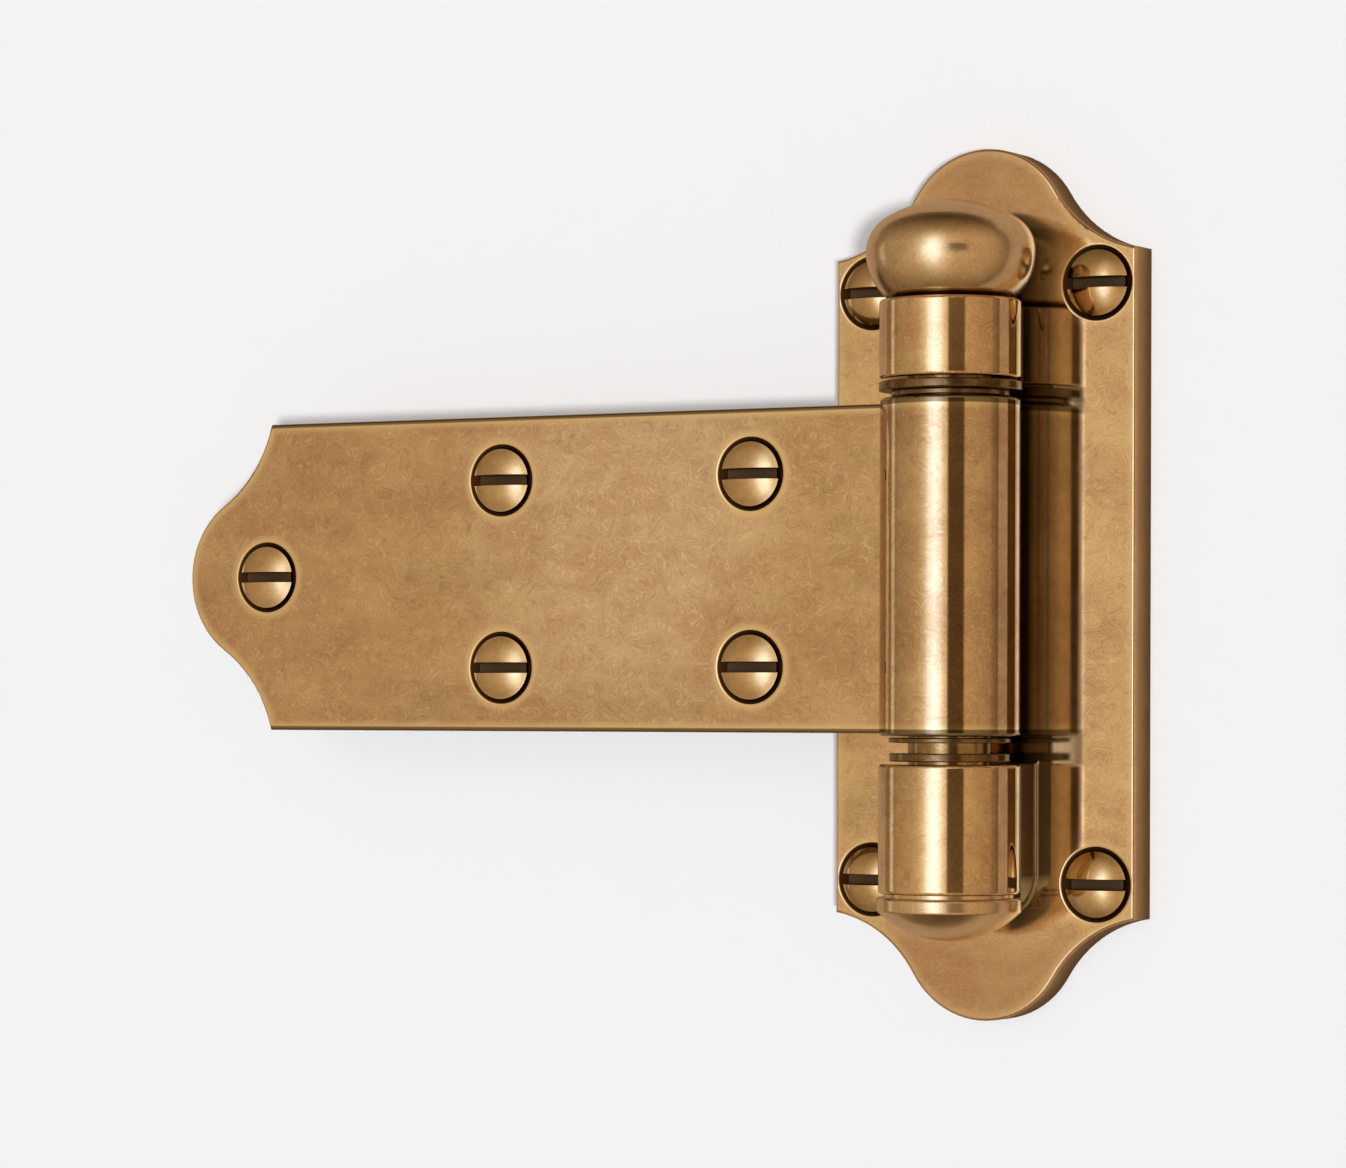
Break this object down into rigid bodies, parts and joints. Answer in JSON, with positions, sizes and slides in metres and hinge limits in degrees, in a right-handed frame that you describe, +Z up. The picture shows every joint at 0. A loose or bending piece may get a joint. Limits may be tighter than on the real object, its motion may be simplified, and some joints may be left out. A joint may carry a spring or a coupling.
{
  "type": "icebox hinge",
  "caption": "Offset surface hinge for an icebox door: a strap leaf with a long barrel on a pin between two knuckles of an upright plate, with ball finial, domed cap and wood screws.",
  "frame": {"origin": "middle of the upright plate's back face, where it lies on the cabinet", "axes": "+Z up along the pin towards the ball finial, +Y into the cabinet, -Y to the front, -X along the closed strap"},
  "size_m": [0.1251, 0.0374, 0.1016],
  "materials": {
    "cast_brass": "aged, polished by hand, with fine curled scratches and cloudy patina",
    "turned_brass": "aged, turned and polished",
    "screw_brass": "aged, with a slotted oval head"
  },
  "bodies": {
    "frame": {"frame_plate": "cast_brass", "hinge_pin": "turned_brass", "ball_finial": "turned_brass", "bottom_cap": "turned_brass", "upper_flange_washer": "turned_brass", "upper_thin_washer": "turned_brass", "lower_thin_washer": "turned_brass", "lower_flange_washer": "turned_brass", "plate_screw_upper_left": "screw_brass", "plate_screw_upper_right": "screw_brass", "plate_screw_lower_left": "screw_brass", "plate_screw_lower_right": "screw_brass"},
    "strap": {"strap_leaf": "cast_brass", "strap_screw_1": "screw_brass", "strap_screw_2": "screw_brass", "strap_screw_3": "screw_brass", "strap_screw_4": "screw_brass", "strap_screw_5": "screw_brass"}
  },
  "joints": [
    {"name": "strap_swing", "type": "hinge", "parent": "frame", "child": "strap", "pos_m": [0, -0.0132, 0], "axis": [0, 0, 1], "range_deg": [0, 180]}
  ]
}
